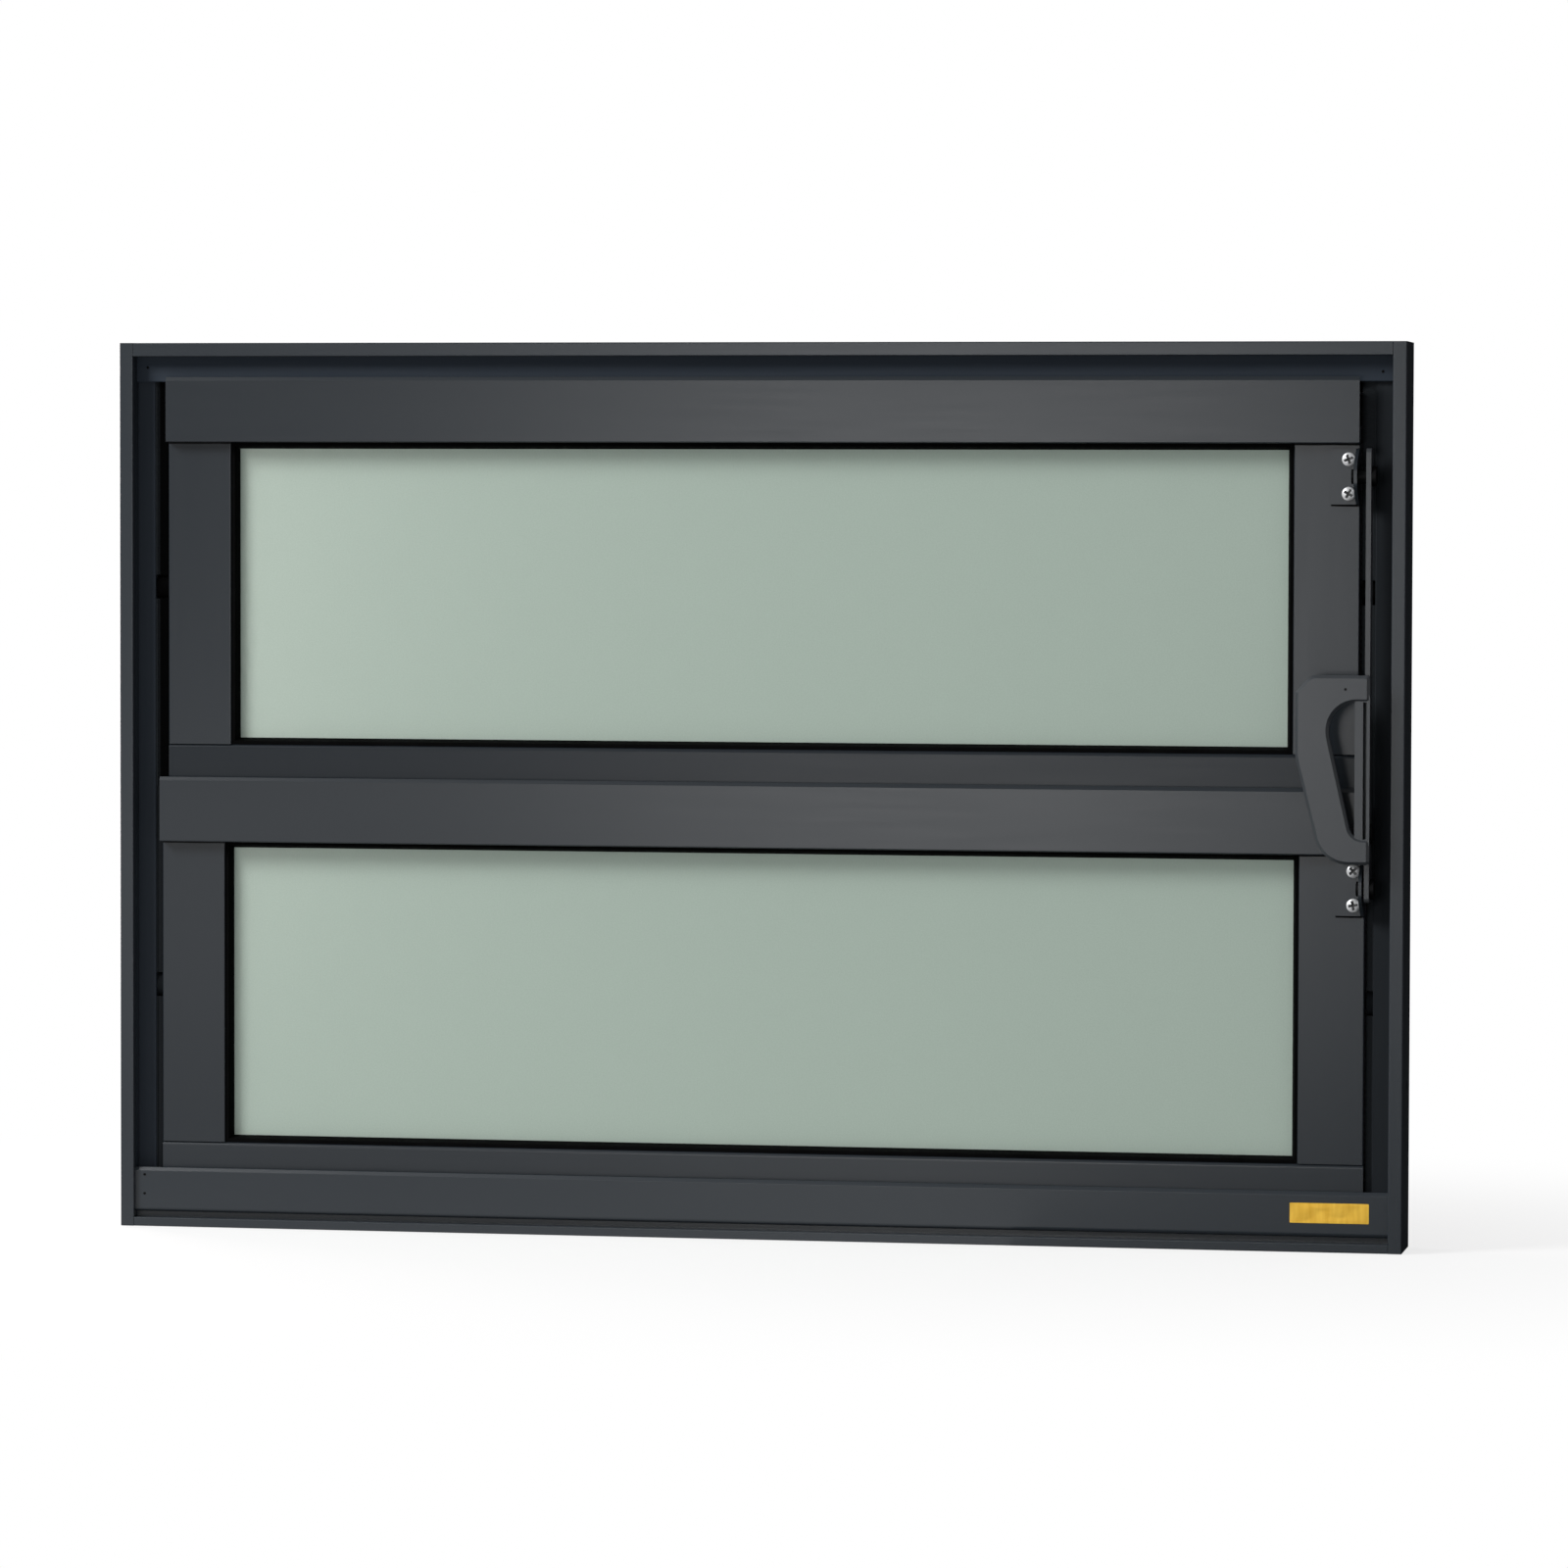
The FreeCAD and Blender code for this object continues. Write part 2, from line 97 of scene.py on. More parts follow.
def gloss(mat, shader, fac, low, high, dull):
    """Roughness that runs from low to high as the pattern goes through its span, divided by dull."""
    start, end = PATTERN_SPAN
    span = {"Value": fac, "From Min": start, "From Max": end, "To Min": low, "To Max": high}
    rough = wire(mat, "MapRange", span).outputs["Result"]
    if dull:
        rough = wire(mat, "Math", {0: rough, 1: dull}, operation="DIVIDE", use_clamp=True).outputs[0]
    mat.node_tree.links.new(rough, shader.inputs["Roughness"])


def finish(name, clouds, colours, grain, rough, peel, bump, shade=None, **constants):
    """Material made from three noises on object coordinates: clouds run the colour, grain the roughness
    and peel the bump. Each noise is cells, detail and stretch. Bump is a strength and a height in metres.
    Shade is a function and its values: it gives the painted shade that colour is multiplied by, and what
    roughness is divided by."""
    mat = bpy.data.materials.new(name)
    mat.use_nodes = True
    shader = mat.node_tree.nodes["Principled BSDF"]
    for key, value in constants.items():
        shader.inputs[key.replace("_", " ")].default_value = value
    place = wire(mat, "TexCoord", {}).outputs["Object"]
    painted_shade, dull = shade[0](mat, place, *shade[1:]) if shade else (None, None)
    tint(mat, shader, cloud(mat, place, *clouds), *colours, painted_shade)
    gloss(mat, shader, cloud(mat, place, *grain), *rough, dull)
    strength, height = bump
    relief = {"Height": cloud(mat, place, *peel), "Strength": strength, "Distance": height}
    mat.node_tree.links.new(wire(mat, "Bump", relief).outputs["Normal"], shader.inputs["Normal"])
    return mat


def painted_recess_shade(mat, place, tone, above):
    """Painted shade: 1 in the open, and the tone and RECESS_DULL where a face inside the outline lies behind
    the front edge.
    Between them goes the product of sunk, not yet at the back, inside the width and inside the height."""
    axis = wire(mat, "SeparateXYZ", {"Vector": place}).outputs
    across = wire(mat, "Math", {0: axis["X"]}, operation="ABSOLUTE").outputs[0]
    fac = wire(mat, "Math", {0: across, 1: RECESS_HALF_W}, operation="LESS_THAN").outputs[0]
    for bound, side in ((above, "GREATER_THAN"), (RECESS_TOP, "LESS_THAN")):
        within = wire(mat, "Math", {0: axis["Z"], 1: bound}, operation=side).outputs[0]
        fac = wire(mat, "Math", {0: fac, 1: within}, operation="MULTIPLY").outputs[0]
    for none, full in (RECESS_FRONT, RECESS_BACK):
        ramp = wire(mat, "MapRange", {"Value": axis["Y"], "From Min": none, "From Max": full})
        fac = wire(mat, "Math", {0: fac, 1: ramp.outputs["Result"]}, operation="MULTIPLY").outputs[0]
    darkened = {0: fac, 1: [channel - 1 for channel in tone], 2: (1, 1, 1)}
    dulled = {0: fac, 1: RECESS_DULL - 1, 2: 1.0}
    return (wire(mat, "VectorMath", darkened, operation="MULTIPLY_ADD").outputs["Vector"],
            wire(mat, "Math", dulled, operation="MULTIPLY_ADD").outputs[0])


def powder_coat(name, colours, die_lines, shade=None, specular=0.42):
    """Satin powder coat: clouded charcoal, die lines along the extrusion, half-millimetre orange peel."""
    return finish(name, clouds=(9.0, 4.0, die_lines), colours=colours, grain=(260.0, 3.0, die_lines),
                  rough=(0.285, 0.315), peel=(1500.0,), bump=(0.10, 0.12 * MM), shade=shade,
                  Specular_IOR_Level=specular)


def dress(mat, *names):
    """Gives CAD nodes a finish."""
    for name in names:
        for slot in frame["nodes"][name].material_slots:
            slot.material = mat


PATTERN_SPAN = 0.25, 0.75
UPRIGHT = (1.0, 1.0, 0.05)
LEVEL = (0.05, 1.0, 1.0)
RECESS_FRONT = -18.5 * MM, -15.0 * MM
RECESS_BACK = -7.0 * MM, -8.5 * MM
RECESS_HALF_W = 396 * MM
RECESS_TOP = 546 * MM
RECESS_DULL = 0.38
FRAME_CHARCOAL = (0.0190, 0.0242, 0.0300), (0.0212, 0.0264, 0.0324)
JAMB_RECESS_ABOVE = 4 * MM
JAMB_PAINTED_SHADE_TONES = {"left_jamb": (0.55, 0.70, 0.88), "right_jamb": (0.03, 0.15, 0.24)}
for jamb, tone in JAMB_PAINTED_SHADE_TONES.items():
    jamb_painted_shade = painted_recess_shade, tone, JAMB_RECESS_ABOVE
    dress(powder_coat(jamb + "_coat", FRAME_CHARCOAL, UPRIGHT, jamb_painted_shade), jamb)

# Head and sill: the same coated extrusion laid level and coped over the jambs' recessed floor.
# Painted shade darkens and blues the face behind the head's front edge, which is rougher too. The sill has
# none.
HEAD_PAINTED_SHADE_TONE = (0.58, 0.78, 1.02)
HEAD_RECESS_ABOVE = 300 * MM
head_painted_shade = painted_recess_shade, HEAD_PAINTED_SHADE_TONE, HEAD_RECESS_ABOVE
dress(powder_coat("cross_member_coat", FRAME_CHARCOAL, LEVEL, head_painted_shade), "head", "sill")

# Pivot bushes: flanged nylon sleeves, injection moulded, pressed into the jambs' inner walls.
# The upper pair is coloured black, painted shade to sit unseen in the shaded gap, and the lower pair grey.
NYLON_SHADED_AND_LIT_TONES = {"upper": ((0.0010, 0.0010, 0.0011), (0.0020, 0.0020, 0.0022)),
               "lower": ((0.0085, 0.0100, 0.0115), (0.0125, 0.0145, 0.0165))}
for sash, tones in NYLON_SHADED_AND_LIT_TONES.items():
    nylon = finish(sash + "_bush_nylon", clouds=(90.0,), colours=tones, grain=(400.0,),
                   rough=(0.65, 0.80), peel=(2500.0,), bump=(0.15, 0.10 * MM), Specular_IOR_Level=0.01)
    dress(nylon, sash + "_pivot_bushes")


# Pile seals: charcoal polypropylene brushes on a thin backing, slid into the jambs and into the head.
# The jambs' ones stop at the pivot bushes' flanges, and their tips just clear the stiles.
# The head's one hangs behind the upper sash.
def skin(name, shells, mat, body, sunk=None):
    """Closed surfaces through rings of points, an array (shells, rings, points, 3). Each ring joins the
    next with quads, and the first and last rings are capped. Sunk marks each point's recess."""
    count, rings, around = shells.shape[:3]
    index = np.arange(count * rings * around).reshape(count, rings, around)
    beside = np.roll(index, -1, axis=2)
    quads = np.stack([index[:, :-1], beside[:, :-1], beside[:, 1:], index[:, 1:]], axis=-1).reshape(-1, 4)
    caps = np.concatenate([index[:, 0, ::-1], index[:, -1]])
    mesh = bpy.data.meshes.new(name)
    mesh.from_pydata(shells.reshape(-1, 3).tolist(), [], quads.tolist() + caps.tolist())
    if sunk is not None:
        mesh.attributes.new("sunk", "FLOAT", "POINT").data.foreach_set("value", sunk.ravel())
    mesh.shade_smooth()
    mesh.set_sharp_from_angle(angle=CREASE)
    mesh.materials.append(mat)
    piece = bpy.data.objects.new(name, mesh)
    bpy.context.scene.collection.objects.link(piece)
    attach(piece, body)


def sunk_painted_shade(mat, _, least):
    """Painted shade: 1 in the open, down to least for the colour where the surface's own sunk mark is 1."""
    mark = wire(mat, "Attribute", {}, attribute_name="sunk").outputs["Fac"]
    return wire(mat, "Math", {0: mark, 1: least - 1, 2: 1.0}, operation="MULTIPLY_ADD").outputs[0], None


def pile_run(start, end, inward, reach, thin_from=1.0, rings=150):
    """Brush section carried along a straight wall: a flat backing, then a body that narrows to a blunt tip.
    Each ring's reach is cut by a ripple of two sines along the run, so the tip is uneven like cut pile.
    Points beyond the share thin_from of the reach are marked for painted shade, which blackens the tip where
    the gap behind lies in shadow."""
    share = np.array([0, 0, 0.12, 0.12, 0.32, 0.64, 0.89, 1, 1, 0.89, 0.64, 0.32, 0.12, 0.12])
    beside = np.array([-2.65, 2.65, 2.65, 1.9, 1.75, 1.5, 1.0,
                       0.35, -0.35, -1.0, -1.5, -1.75, -1.9, -2.65]) * MM
    path = np.linspace(start, end, rings)
    gone = np.linalg.norm(path - path[0], axis=1)
    short_wave, long_wave = 0.9 * MM, 2.7 * MM
    ripple = 0.97 + 0.03 * np.sin(gone / short_wave) * np.sin(gone / long_wave + 1.0)
    out = reach * share * ripple[:, None]
    ring = path[:, None] + out[..., None] * np.array(inward) + beside[:, None] * np.array([0, 1, 0])
    thin = np.repeat((share > thin_from)[None], rings, axis=0)
    order = -1 if np.dot(np.cross(inward, (0, 1, 0)), path[-1] - path[0]) > 0 else 1
    return ring[:, ::order], thin[:, ::order].astype(float)


CREASE = math.radians(38)
STRANDS = (0.1, 1, 1)
PILE_TONES = (0.0150, 0.0175, 0.0200), (0.0200, 0.0228, 0.0255)
PILE_PAINTED_SHADE_TONE = 0.05
pile = finish("pile_fibre", clouds=(1400.0, 3.0, STRANDS), colours=PILE_TONES, grain=(500.0,),
              rough=(0.80, 0.95), peel=(1700.0, 3.0, STRANDS), bump=(0.5, 0.30 * MM),
              shade=(sunk_painted_shade, PILE_PAINTED_SHADE_TONE), Specular_IOR_Level=0.03)
PILE_Y = -6.25 * MM
PILE_INTO_FLANGE = 0.5 * MM
PILE_TIP_GAP = 0.3 * MM
# The upper run on the left gets a black tip: painted shade for the shaded gap beside the upper sash.
PAINTED_SHADE_PILE = "left", "upper"
PAINTED_SHADE_FROM = 0.2
SILL_SEAT = 23 * MM
pile_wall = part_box("right_jamb")[0].x
head_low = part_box("head")[0].z
meeting = (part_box("lower_pivot_bushes")[0].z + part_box("upper_pivot_bushes")[1].z) / 2
for name, side in (("left", -1), ("right", 1)):
    runs = []
    for sash, low, high in (("lower", SILL_SEAT, meeting), ("upper", meeting, head_low)):
        reach = pile_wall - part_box(sash + "_right_stile")[1].x - PILE_TIP_GAP
        bush_low, bush_high = [p.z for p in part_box(sash + "_pivot_bushes")]
        thin_from = PAINTED_SHADE_FROM if (name, sash) == PAINTED_SHADE_PILE else 1.0
        for stop, on in ((low, bush_low + PILE_INTO_FLANGE), (bush_high - PILE_INTO_FLANGE, high)):
            ends = (side * pile_wall, PILE_Y, stop), (side * pile_wall, PILE_Y, on)
            runs.append(pile_run(*ends, (-side, 0, 0), reach, thin_from))
    points, thin = [np.stack(part) for part in zip(*runs)]
    skin(name + "_pile_seal", points, pile, "frame", thin)

HEAD_PILE_Y = 16.0 * MM
HEAD_PILE_REACH = 12.5 * MM
head_ends = (-pile_wall, HEAD_PILE_Y, head_low), (pile_wall, HEAD_PILE_Y, head_low)
points, thin = pile_run(*head_ends, (0, 0, -1), HEAD_PILE_REACH, rings=400)
skin("head_pile_seal", points[None], pile, "frame", thin)

# Sash rails and stiles: lighter hollow extrusions, cut square and screwed together at the corners.
# They have the same charcoal coat, from a batch that is a shade darker than the frame's.
# The rail that the lower sash laps is darker and duller still.
SASH_CHARCOAL = (0.0147, 0.0190, 0.0239), (0.0167, 0.0210, 0.0259)
rail_coat = powder_coat("rail_coat", SASH_CHARCOAL, LEVEL)
stile_coat = powder_coat("stile_coat", SASH_CHARCOAL, UPRIGHT)
for sash in ("upper", "lower"):
    dress(rail_coat, sash + "_top_rail", sash + "_bottom_rail")
    dress(stile_coat, sash + "_left_stile", sash + "_right_stile")
MEETING_CHARCOAL = (0.0125, 0.0160, 0.0202), (0.0145, 0.0180, 0.0222)
dress(powder_coat("meeting_rail_coat", MEETING_CHARCOAL, LEVEL, specular=0.22), "upper_bottom_rail")

# Glazing gaskets: extruded black rubber channels with a tapered bead on each side of the glass.
# They are pushed into the grooves of the rails and stiles, and grip the pane without glue.
RUBBER_TONES = (0.0010, 0.0010, 0.0011), (0.0022, 0.0022, 0.0024)
rubber = finish("gasket_rubber", clouds=(60.0,), colours=RUBBER_TONES, grain=(500.0,),
                rough=(0.70, 0.85), peel=(1800.0,), bump=(0.20, 0.10 * MM), Specular_IOR_Level=0.03)
dress(rubber, "upper_gasket", "lower_gasket")

# Panes: 4 mm float glass with a green cast, cut to size and held by the gaskets.
# It is acid etched to a satin face that scatters what is behind it.
GLASS_TONES = (0.380, 0.468, 0.405), (0.436, 0.523, 0.462)
satin = finish("satin_glass", clouds=(1100.0, 3.0), colours=GLASS_TONES, grain=(700.0,),
               rough=(0.50, 0.60), peel=(2200.0,), bump=(0.12, 0.08 * MM),
               Transmission_Weight=0.35, IOR=1.5, Specular_IOR_Level=0.4)
dress(satin, "upper_glass", "lower_glass")

# Pivot pins: zinc plated steel rods, black passivated, that stand out of each stile into its bush.
# The upper pair is coloured black, painted shade to sit unseen in the shaded gap, and the lower pair grey
# like its bushes.
PIN_SHADED_AND_LIT_TONES = {"upper": ((0.0015, 0.0015, 0.0017), (0.0030, 0.0030, 0.0033)),
             "lower": ((0.0100, 0.0115, 0.0130), (0.0150, 0.0170, 0.0190))}
for sash, tones in PIN_SHADED_AND_LIT_TONES.items():
    zinc = finish(sash + "_black_zinc", clouds=(300.0,), colours=tones, grain=(900.0,),
                  rough=(0.42, 0.55), peel=(3000.0,), bump=(0.08, 0.05 * MM), Specular_IOR_Level=0.01)
    dress(zinc, sash + "_pivot_pins")

# Brackets: folded aluminium angles, with an ear beside the stile that takes the link pin.
# They are screwed to the right stiles, and coated with the sashes.
dress(stile_coat, "upper_bracket", "lower_bracket")


# Bracket screws: zinc plated steel pan heads, cold formed, two through each bracket's leg.
# The cross recess in each head is darkened by painted shade.
def screw_head(centre, radius, height, turn, around=96):
    """Pan head facing the room, and how far each point lies in the recess. Ring s goes from the middle to
    the rim on an ellipse, then down the side: rise = height * (0.45 + 0.55 * sqrt(1 - s^2)). A cross of
    two arms is sunk into it, deepest in the middle: sink = 0.55 * height * (1 - 0.55 * s) where the
    distance across an arm is under its half."""
    s = np.concatenate([np.linspace(0.03, 1.0, 28), [1.0, 0.97]])
    rise = height * (0.45 + 0.55 * np.sqrt(1 - np.minimum(s, 1) ** 2))
    rise[-2:] = height * 0.2, 0.0
    angle = np.linspace(0, 2 * math.pi, around, endpoint=False)
    u = s[:, None] * np.cos(angle)
    v = s[:, None] * np.sin(angle)
    arm_half, arm_end, soft = 0.17, 0.66, 0.06
    across = np.clip((arm_half - np.minimum(abs(u), abs(v))) / soft + 0.5, 0, 1)
    along = np.clip((arm_end - np.maximum(abs(u), abs(v))) / soft + 0.5, 0, 1)
    sunk = across * along
    x = radius * (u * math.cos(turn) - v * math.sin(turn))
    z = radius * (u * math.sin(turn) + v * math.cos(turn))
    y = 0.55 * height * sunk * (1 - 0.55 * s[:, None]) - rise[:, None]
    return np.stack([x, y, z], axis=-1) + np.array(centre), sunk


SCREW_TONES = (0.72, 0.73, 0.75), (0.86, 0.87, 0.88)
CROSS_PAINTED_SHADE_TONE = 0.06
screw_zinc = finish("screw_zinc", clouds=(300.0,), colours=SCREW_TONES, grain=(900.0,),
                    rough=(0.28, 0.40), peel=(3000.0,), bump=(0.08, 0.05 * MM),
                    shade=(sunk_painted_shade, CROSS_PAINTED_SHADE_TONE), Metallic=0.55, Specular_IOR_Level=0.5)
SCREW_R = 4.2 * MM
SCREW_RISE = 2.9 * MM
SCREW_FROM_EAR = 6.3 * MM
SCREW_HALF_PITCH = 10.4 * MM
SCREW_TURNS = {"upper": (0.35, 1.05), "lower": (0.75, 0.15)}
LEG_T = 2.0 * MM
for sash, turns in SCREW_TURNS.items():
    low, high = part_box(sash + "_bracket")
    stile_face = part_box(sash + "_right_stile")[0].y
    middle = (low.z + high.z) / 2
    heads = [screw_head((high.x - SCREW_FROM_EAR, stile_face - LEG_T, middle + side * SCREW_HALF_PITCH),
                        SCREW_R, SCREW_RISE, turn) for side, turn in zip((1, -1), turns)]
    points, recesses = [np.stack(part) for part in zip(*heads)]
    skin(sash + "_bracket_screws", points, screw_zinc, sash + "_sash", recesses)

# Link pins: headed steel pins, turned and blackened.
# Each goes through a bracket's ear and the bar, which it carries beside the ear.
BLACK_TONES = (0.0012, 0.0012, 0.0014), (0.0026, 0.0026, 0.0029)
black = finish("black_steel", clouds=(250.0,), colours=BLACK_TONES, grain=(800.0,),
               rough=(0.42, 0.58), peel=(2600.0,), bump=(0.12, 0.06 * MM), Specular_IOR_Level=0.10)
dress(black, "upper_link_pin", "lower_link_pin")

# Link bar: flat aluminium strip, drilled and coated, hung on the two link pins.
# It ties both sashes so that they tilt together.
LINK_CHARCOAL = (0.0300, 0.0335, 0.0375), (0.0330, 0.0365, 0.0405)
dress(powder_coat("link_coat", LINK_CHARCOAL, UPRIGHT), "link_bar")


# Bar rivet: one more black steel head on the bar's outer side, beside the handle's lower arm.
# It is set in the bar and goes along with it.
def rivet_head(centre, radius, height, around=48):
    """Low dome facing right. Its rings go from the seat's edge up a short side, then over a quarter ellipse
    to the middle: out = height * (0.4 + 0.6 * sin(q)) and wide = radius * cos(q), q up to a right angle."""
    q = np.linspace(0, math.pi / 2 * 0.97, 12)
    out = height * np.concatenate([[0.0], 0.4 + 0.6 * np.sin(q)])
    wide = radius * np.concatenate([[1.0], np.cos(q)])
    angle = np.linspace(0, 2 * math.pi, around, endpoint=False)
    x = np.repeat(out[:, None], around, axis=1)
    y = wide[:, None] * np.cos(angle)
    z = wide[:, None] * np.sin(angle)
    return np.stack([x, y, z], axis=-1) + np.array(centre)


RIVET_R = 6.0 * MM
RIVET_RISE = 2.4 * MM
RIVET_ABOVE_END = 41.4 * MM
low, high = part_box("link_bar")
rivet_place = (high.x, (low.y + high.y) / 2, low.z + RIVET_ABOVE_END)
skin("bar_rivet", rivet_head(rivet_place, RIVET_R, RIVET_RISE)[None], black, "link")


# Shadow beads: black hollow fillets along corners, painted shade for the shadow lines there.
# They run under each top rail on the stiles, and under the brackets.
def bead(x0, x1, y, z, rings=40):
    """Hollow fillet below an edge, carried from x0 to x1: the corner at y and z, one leg towards the room,
    and a quarter circle back to the other leg. Its size swells and shrinks by a tenth with a sine along
    the run."""
    turn = np.linspace(0, math.pi / 2, 8)
    out = np.concatenate([[0.0], 1 - np.sin(turn)])
    down = np.concatenate([[0.0], 1 - np.cos(turn)])
    x = np.linspace(x0, x1, rings)[:, None]
    swell = BEAD_SIZE * (0.95 + 0.05 * np.sin(x / BEAD_WAVE))
    ring = np.stack([x + 0 * out, y - swell * out, z - swell * down], axis=-1)
    return ring[:, ::-1]


SHADOW_BEAD_TONES = (0.0040, 0.0042, 0.0046), (0.0070, 0.0072, 0.0078)
shadow_bead_finish = finish("painted_shadow_bead_black", clouds=(200.0,), colours=SHADOW_BEAD_TONES, grain=(600.0,),
                  rough=(0.50, 0.65), peel=(900.0,), bump=(0.15, 0.10 * MM), Specular_IOR_Level=0.12)
BEAD_SIZE = 1.3 * MM
BEAD_WAVE = 4.1 * MM
for sash in ("upper", "lower"):
    beads = []
    for side in ("left", "right"):
        low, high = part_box(sash + "_" + side + "_stile")
        beads.append(bead(low.x, high.x, low.y, high.z))
    leg_low, leg_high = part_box(sash + "_bracket")
    beads.append(bead(leg_low.x, leg_high.x, low.y, leg_low.z))
    skin(sash + "_painted_shadow_bead", np.stack(beads), shadow_bead_finish, sash + "_sash")


# Pull handle: flat aluminium casting with eased edges, coated a shade paler than the sashes.
# A small hole in the upper arm, where the casting hung while it was coated, is shown as a dark disc of
# painted shade.
def hole_painted_shade(mat, place, x, z):
    """Painted shade of a hole: 1 on the handle, down to HOLE_PAINTED_SHADE_TONE within the hole's radius of a
    line through it at x and z.
    """
    off = wire(mat, "VectorMath", {0: place, 1: (x, 0, z)}, operation="SUBTRACT").outputs["Vector"]
    flat = wire(mat, "VectorMath", {0: off, 1: (1, 0, 1)}, operation="MULTIPLY").outputs["Vector"]
    away = wire(mat, "VectorMath", {0: flat}, operation="LENGTH").outputs["Value"]
    edge = {"Value": away, "From Min": HOLE_INNER_R, "From Max": HOLE_R, "To Min": HOLE_PAINTED_SHADE_TONE, "To Max": 1.0}
    shade = wire(mat, "MapRange", edge).outputs["Result"]
    return shade, shade


HANDLE_CHARCOAL = (0.0308, 0.0350, 0.0402), (0.0343, 0.0385, 0.0437)
CAST = (1, 1, 1)
HOLE_R = 1.0 * MM
HOLE_INNER_R = 0.7 * MM
HOLE_PAINTED_SHADE_TONE = 0.08
HOLE_FROM_RIGHT = 14.6 * MM
HOLE_FROM_TOP = 8.3 * MM
low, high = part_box("pull_handle")
hole = hole_painted_shade, high.x - HOLE_FROM_RIGHT, high.z - HOLE_FROM_TOP
dress(powder_coat("handle_coat", HANDLE_CHARCOAL, CAST, hole), "pull_handle")


# Sill label: blank strip of gold foil with an upright brushed grain, die cut with nearly square corners.
# It is stuck on the sill's upstand near its right end.
def foil_strip(around=160):
    """Thin strip. Ring s is the outline |x|^n + |z|^n = 1, with a high n, grown from the middle to the edge
    with a faint ripple of two crossed sines, and then the edge itself down to the seat."""
    s = np.concatenate([np.linspace(0.02, 1.0, 22), [1.0]])
    angle = np.linspace(0, 2 * math.pi, around, endpoint=False)
    power = 2 / LABEL_SQUARENESS
    x = s[:, None] * np.sign(np.cos(angle)) * abs(np.cos(angle)) ** power * LABEL_W / 2
    z = s[:, None] * np.sign(np.sin(angle)) * abs(np.sin(angle)) ** power * LABEL_H / 2
    lift, wave_along, wave_up = 0.06 * MM, 3.1 * MM, 2.3 * MM
    y = -LABEL_T - lift * np.sin(x / wave_along) * np.sin(z / wave_up + 1.0)
    y[-1] = 0.0
    return np.stack([x + LABEL_X, y + SILL_UPSTAND_Y, z + LABEL_Z], axis=-1)


FOIL_TONES = (0.83, 0.465, 0.042), (0.97, 0.61, 0.080)
BRUSHED = (1, 1, 0.15)
foil = finish("gold_foil", clouds=(420.0, 2.0, BRUSHED), colours=FOIL_TONES, grain=(500.0,),
              rough=(0.28, 0.40), peel=(300.0,), bump=(0.12, 0.15 * MM), Metallic=0.55)
LABEL_W = 48.0 * MM
LABEL_H = 12.2 * MM
LABEL_T = 0.25 * MM
LABEL_X = 355.9 * MM
LABEL_Z = 23.6 * MM
LABEL_SQUARENESS = 48
SILL_UPSTAND_Y = -19.5 * MM
skin("sill_label", foil_strip()[None], foil, "frame")

# Corner screws: small black steel heads at both ends of the head and at the sill's left end.
# They hold head and sill to the jambs.
CORNER_R = 0.8 * MM
CORNER_RISE = 0.4 * MM
CORNER_TURN = 0.6
HEAD_FACE_Y = -12.5 * MM
HEAD_SCREW_X = 384.6 * MM
HEAD_SCREW_Z = {-1: 535.0 * MM, 1: 532.0 * MM}
SILL_SCREW_X = -385.4 * MM
SILL_SCREW_Z = 20.2 * MM, 32.0 * MM
corner_places = [(side * HEAD_SCREW_X, HEAD_FACE_Y, z) for side, z in HEAD_SCREW_Z.items()]
corner_places += [(SILL_SCREW_X, SILL_UPSTAND_Y, z) for z in SILL_SCREW_Z]
corner_heads = [screw_head(place, CORNER_R, CORNER_RISE, CORNER_TURN, 32)[0] for place in corner_places]
skin("corner_screws", np.stack(corner_heads), black, "frame")


# Studio: white floor and white sweep behind, a dimmer room in front, a large soft lamp at the upper left.
# A softbox gives the rails sheen, a lamp behind lightens the glass, a weak one lights the low left corner.
# Black cards stand behind the right end and lie before it, where only reflections see them.
def soft_lamp(name, place, aim, size, power, colour=(1, 1, 1)):
    """Square area lamp that the camera doesn't see, turned to face its aim."""
    lamp = bpy.data.lights.new(name, "AREA")
    lamp.shape = "SQUARE"
    lamp.size = size
    lamp.energy = power
    lamp.color = colour
    stand = bpy.data.objects.new(name, lamp)
    stand.location = place
    way = np.array(aim) - np.array(place)
    stand.rotation_euler = (math.atan2(math.hypot(way[0], way[1]), -way[2]), 0, math.atan2(-way[0], way[1]))
    stand.visible_camera = False
    bpy.context.scene.collection.objects.link(stand)


BACK_LAMP_COLOUR = (1.0, 0.83, 0.85)
soft_lamp("key_lamp", place=(-2.46, -1.92, 2.3), aim=(0.0, 0, 0.3), size=1.3, power=140)
soft_lamp("sheen_lamp", place=(-0.22, -2.2, 0.34), aim=(0.1, 0, 0.3), size=0.62, power=6.6)
soft_lamp("back_lamp", place=(-0.85, 0.60, 0.40), aim=(-0.30, 0, 0.28), size=0.6, power=7.5,
          colour=BACK_LAMP_COLOUR)
soft_lamp("low_lamp", place=(-0.62, -0.85, 0.14), aim=(-0.38, 0, 0.12), size=0.3, power=0.25)


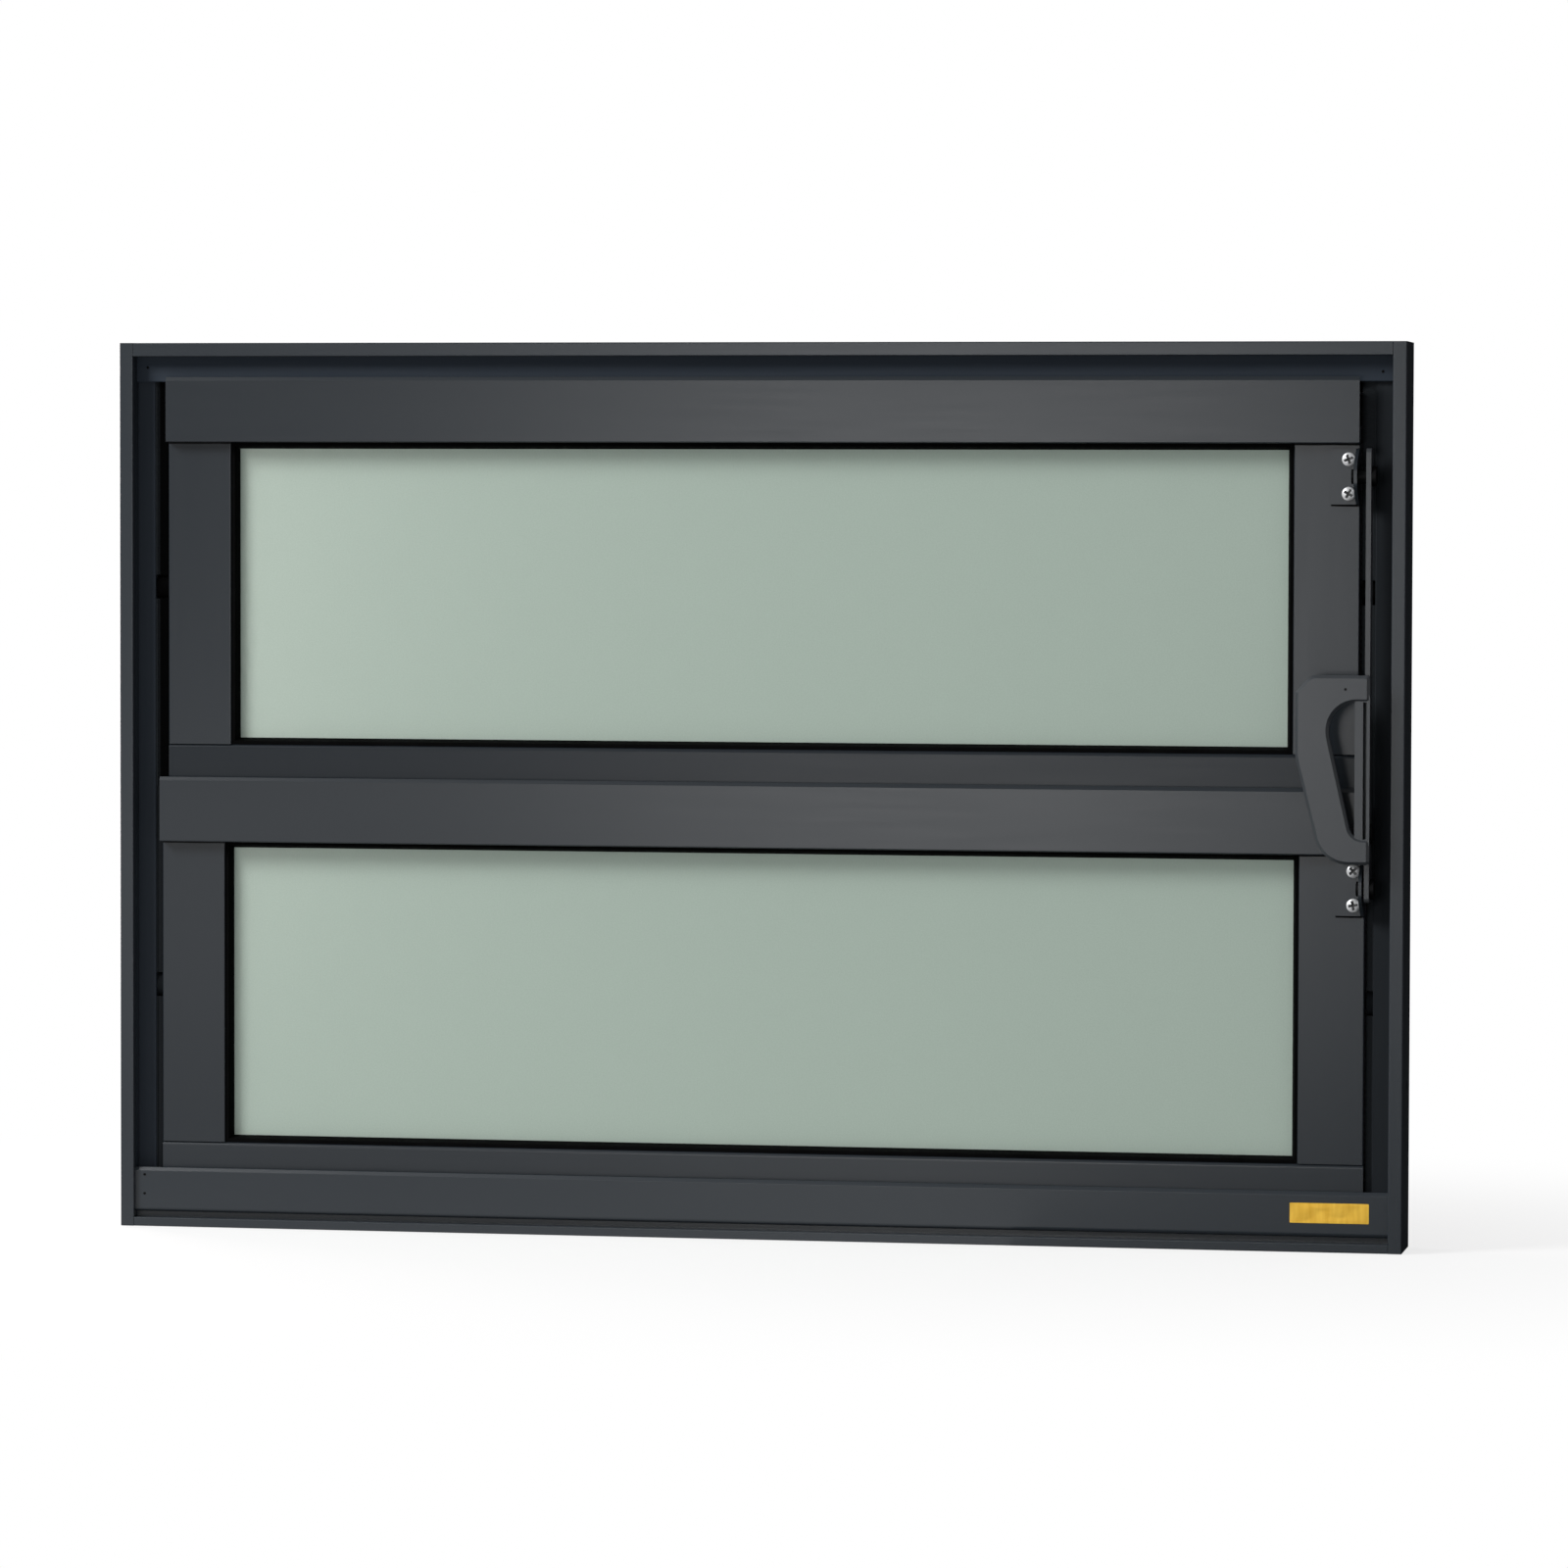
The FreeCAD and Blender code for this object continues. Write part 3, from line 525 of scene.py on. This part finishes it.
def studio_level(mat, place, reach):
    """Strength 1 where the camera or the glass sees it, and the plain ambient level elsewhere. In
    reflections it goes by where they look: white behind the window, dimmer in the room in front of it."""
    depth = wire(mat, "SeparateXYZ", {"Vector": place}).outputs["Y"]
    level = {"Value": depth, "From Min": -reach, "From Max": reach, "To Min": FRONT_LEVEL, "To Max": 1.0}
    mirrored = wire(mat, "MapRange", level, interpolation_type="SMOOTHSTEP").outputs["Result"]
    path = wire(mat, "LightPath", {}).outputs
    seen_by = {0: path["Is Camera Ray"], 1: path["Is Transmission Ray"]}
    shown = wire(mat, "Math", seen_by, operation="MAXIMUM").outputs[0]
    unseen = wire(mat, "Mix", {0: path["Is Glossy Ray"], 2: AMBIENT_LEVEL, 3: mirrored}).outputs[0]
    return wire(mat, "Mix", {0: shown, 2: unseen, 3: 1.0}).outputs[0]


AMBIENT_LEVEL = 0.35
FRONT_LEVEL = 0.22
SWEEP_REACH = 0.3
world = bpy.data.worlds.new("studio")
bpy.context.scene.world = world
world.use_nodes = True
sky = world.node_tree.nodes["Background"]
sky.inputs["Color"].default_value = (1, 1, 1, 1)
bearing = wire(world, "TexCoord", {}).outputs["Generated"]
world.node_tree.links.new(studio_level(world, bearing, SWEEP_REACH), sky.inputs["Strength"])


def stage_sheet(name, corners, mat):
    """One flat sheet of the studio."""
    sheet = bpy.data.meshes.new(name)
    sheet.from_pydata(corners, [], [(0, 1, 2, 3)])
    sheet.materials.append(mat)
    laid = bpy.data.objects.new(name, sheet)
    bpy.context.scene.collection.objects.link(laid)
    return laid


FLOOR_HALF = 30.0
FLOOR_Z = -0.3 * MM
FLOOR_REACH = 0.6
SHADOW_START = 0.10
SHADOW_END = 0.70
SHADOW_LEAST = 0.70
SHADOW_STRETCH = (0.7, 1, 0)
paper = bpy.data.materials.new("white_floor")
paper.use_nodes = True
near = paper.node_tree.nodes["Principled BSDF"]
near.inputs["Base Color"].default_value = (0.9, 0.9, 0.9, 1)
near.inputs["Roughness"].default_value = 0.9
near.inputs["Specular IOR Level"].default_value = 0.1
spot = wire(paper, "TexCoord", {}).outputs["Object"]
far = wire(paper, "Emission", {"Strength": studio_level(paper, spot, FLOOR_REACH)})
flat = wire(paper, "Mapping", {"Vector": spot, "Scale": SHADOW_STRETCH})
away = wire(paper, "VectorMath", {0: flat.outputs["Vector"]}, operation="LENGTH").outputs["Value"]
fading = {"Value": away, "From Min": SHADOW_START, "From Max": SHADOW_END, "To Min": SHADOW_LEAST}
fade = wire(paper, "MapRange", fading, interpolation_type="SMOOTHSTEP").outputs["Result"]
mixed = wire(paper, "MixShader", {0: fade, 1: near.outputs["BSDF"], 2: far.outputs["Emission"]})
floor_look = paper.node_tree.nodes["Material Output"]
paper.node_tree.links.new(mixed.outputs["Shader"], floor_look.inputs["Surface"])
floor_corners = [(x * FLOOR_HALF, y * FLOOR_HALF, FLOOR_Z) for x, y in ((-1, -1), (1, -1), (1, 1), (-1, 1))]
stage_sheet("floor", floor_corners, paper)

CARD_RIGHT = 1.3
CARD_REAR = 0.06
BACK_CARD_LEFT = 0.30
BACK_CARD_TOP = 1.4
FLOOR_CARD_LEFT = 0.16
FLOOR_CARD_FRONT = -1.2
FLOOR_CARD_Z = 0.2 * MM
card_black = bpy.data.materials.new("black_card")
card_black.use_nodes = True
card_face = card_black.node_tree.nodes["Principled BSDF"]
card_face.inputs["Base Color"].default_value = (0.004, 0.004, 0.004, 1)
card_face.inputs["Specular IOR Level"].default_value = 0.0
back_card = [(BACK_CARD_LEFT, CARD_REAR, 0), (CARD_RIGHT, CARD_REAR, 0),
             (CARD_RIGHT, CARD_REAR, BACK_CARD_TOP), (BACK_CARD_LEFT, CARD_REAR, BACK_CARD_TOP)]
floor_card = [(FLOOR_CARD_LEFT, FLOOR_CARD_FRONT, FLOOR_CARD_Z),
              (CARD_RIGHT, FLOOR_CARD_FRONT, FLOOR_CARD_Z),
              (CARD_RIGHT, CARD_REAR, FLOOR_CARD_Z), (FLOOR_CARD_LEFT, CARD_REAR, FLOOR_CARD_Z)]
for name, corners in (("back_card", back_card), ("floor_card", floor_card)):
    card = stage_sheet(name, corners, card_black)
    card.visible_camera = False
    card.visible_diffuse = False
    card.visible_transmission = False
    card.visible_shadow = False

# Camera: a long lens at the photograph's place, to the right of the window and above its middle.
# It is turned left and tipped down a little.
YAW = math.radians(10.5136)
PITCH = math.radians(2.4065)
ROLL = math.radians(0.1479)
CAMERA_PLACE = 0.78536, -4.14388, 0.45632
FOCAL_LENGTH_MM = 157.5
SENSOR_MM = 36.0
ahead = np.array([-math.sin(YAW) * math.cos(PITCH), math.cos(YAW) * math.cos(PITCH), -math.sin(PITCH)])
level = np.array([math.cos(YAW), math.sin(YAW), 0])
upward = np.cross(level, ahead)
right = math.cos(ROLL) * level + math.sin(ROLL) * upward
upward = np.cross(right, ahead)
lens = bpy.data.cameras.new("camera")
lens.lens = FOCAL_LENGTH_MM
lens.sensor_width = SENSOR_MM
lens.clip_end = 100.0
camera = bpy.data.objects.new("camera", lens)
stance = np.eye(4)
stance[:3, :3] = np.stack([right, upward, -ahead], axis=1)
stance[:3, 3] = CAMERA_PLACE
camera.matrix_world = Matrix(stance.tolist())
bpy.context.scene.collection.objects.link(camera)
bpy.context.scene.camera = camera
bpy.context.scene.view_settings.view_transform = "Standard"
